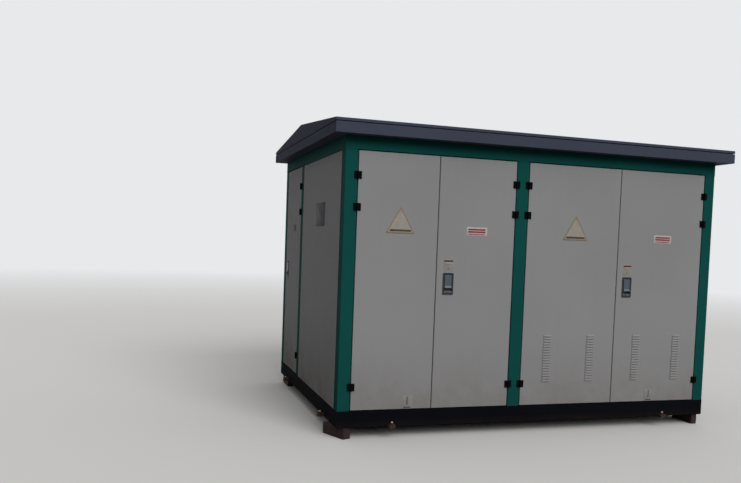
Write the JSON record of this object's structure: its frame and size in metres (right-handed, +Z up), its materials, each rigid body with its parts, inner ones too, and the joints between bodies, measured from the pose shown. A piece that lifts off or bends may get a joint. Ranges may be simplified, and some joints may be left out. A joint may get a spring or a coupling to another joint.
{
  "type": "compact substation",
  "caption": "Sheet-steel compact substation housing on a channel base, with flush hinged doors, pressed louvres and a low gable roof with a vent gap.",
  "frame": {"origin": "on the ground, below the middle of the housing", "axes": "+X along the long front to the right, +Y to the rear, +Z up; the front with the double doors faces -Y"},
  "size_m": [3.591, 2.584, 2.548],
  "materials": {
    "frame_green": "semi-gloss deep green paint",
    "panel_grey": "satin light grey paint",
    "roof_slate": "satin slate paint",
    "base_black": "satin black paint",
    "hinge_black": "black powder coat",
    "handle_black": "black powder coat",
    "lever_grey": "satin blue-grey enamel",
    "lug_rust": "rusted, unpainted",
    "floor_steel": "grey primer",
    "timber": "rough sawn, stained"
  },
  "bodies": {
    "housing": {"post_front_left": "frame_green", "post_front_middle": "frame_green", "post_front_right": "frame_green", "post_rear_left": "frame_green", "post_rear_middle": "frame_green", "post_rear_right": "frame_green", "post_left_middle": "frame_green", "post_right_1": "frame_green", "post_right_2": "frame_green", "header_front": "frame_green", "header_rear": "frame_green", "header_left": "frame_green", "header_right": "frame_green", "rebate_bars": "frame_green", "panel_left": "panel_grey", "panels_right": "panel_grey", "panels_rear": "panel_grey", "fascia_front": "roof_slate", "fascia_rear": "roof_slate", "fascia_left": "roof_slate", "fascia_right": "roof_slate", "roof_slope_front": "roof_slate", "roof_slope_rear": "roof_slate", "gable_left": "roof_slate", "gable_right": "roof_slate", "ceiling_plate": "roof_slate", "base_front": "base_black", "base_rear": "base_black", "base_left": "base_black", "base_right": "base_black", "base_cross_members": "base_black", "hinge_brackets": "hinge_black", "hold_down_lugs": "lug_rust", "floor_deck": "floor_steel", "packer_front_left": "timber", "packers_square": "timber"},
    "door_left_outer": {"leaf_left_outer": "panel_grey", "hinges_left_outer": "hinge_black"},
    "door_left_inner": {"leaf_left_inner": "panel_grey", "hinges_left_inner": "hinge_black", "handle_housing_left_inner": "handle_black"},
    "door_right_inner": {"leaf_right_inner": "panel_grey", "hinges_right_inner": "hinge_black", "louvres_right_inner": "panel_grey"},
    "door_right_outer": {"leaf_right_outer": "panel_grey", "hinges_right_outer": "hinge_black", "louvres_right_outer": "panel_grey", "handle_housing_right_outer": "handle_black"},
    "door_end": {"leaf_end": "panel_grey", "hinges_end": "hinge_black", "handle_housing_end": "handle_black"},
    "lever_left_inner": {"handle_lever_left_inner": "lever_grey"},
    "lever_right_outer": {"handle_lever_right_outer": "lever_grey"},
    "lever_end": {"handle_lever_end": "lever_grey"}
  },
  "joints": [
    {"name": "door_left_outer_hinge", "type": "hinge", "parent": "housing", "child": "door_left_outer", "pos_m": [-1.585, -1.195, 1.22], "axis": [0, 0, -1], "range_deg": [0, 110]},
    {"name": "door_left_inner_hinge", "type": "hinge", "parent": "housing", "child": "door_left_inner", "pos_m": [-0.25, -1.195, 1.22], "axis": [0, 0, 1], "range_deg": [0, 90]},
    {"name": "door_right_inner_hinge", "type": "hinge", "parent": "housing", "child": "door_right_inner", "pos_m": [-0.138, -1.195, 1.22], "axis": [0, 0, -1], "range_deg": [0, 90]},
    {"name": "door_right_outer_hinge", "type": "hinge", "parent": "housing", "child": "door_right_outer", "pos_m": [1.585, -1.195, 1.22], "axis": [0, 0, 1], "range_deg": [0, 110]},
    {"name": "door_end_hinge", "type": "hinge", "parent": "housing", "child": "door_end", "pos_m": [-1.6985, 0.3975, 1.22], "axis": [0, 0, 1], "range_deg": [0, 110]},
    {"name": "lever_left_inner_pin", "type": "hinge", "parent": "door_left_inner", "child": "lever_left_inner", "pos_m": [-0.8155, -1.183, 1.281], "axis": [-1, 0, 0], "range_deg": [0, 40]},
    {"name": "lever_right_outer_pin", "type": "hinge", "parent": "door_right_outer", "child": "lever_right_outer", "pos_m": [0.8365, -1.183, 1.281], "axis": [-1, 0, 0], "range_deg": [0, 40]},
    {"name": "lever_end_pin", "type": "hinge", "parent": "door_end", "child": "lever_end", "pos_m": [-1.6865, 0.979, 1.281], "axis": [0, 1, 0], "range_deg": [0, 40]}
  ]
}
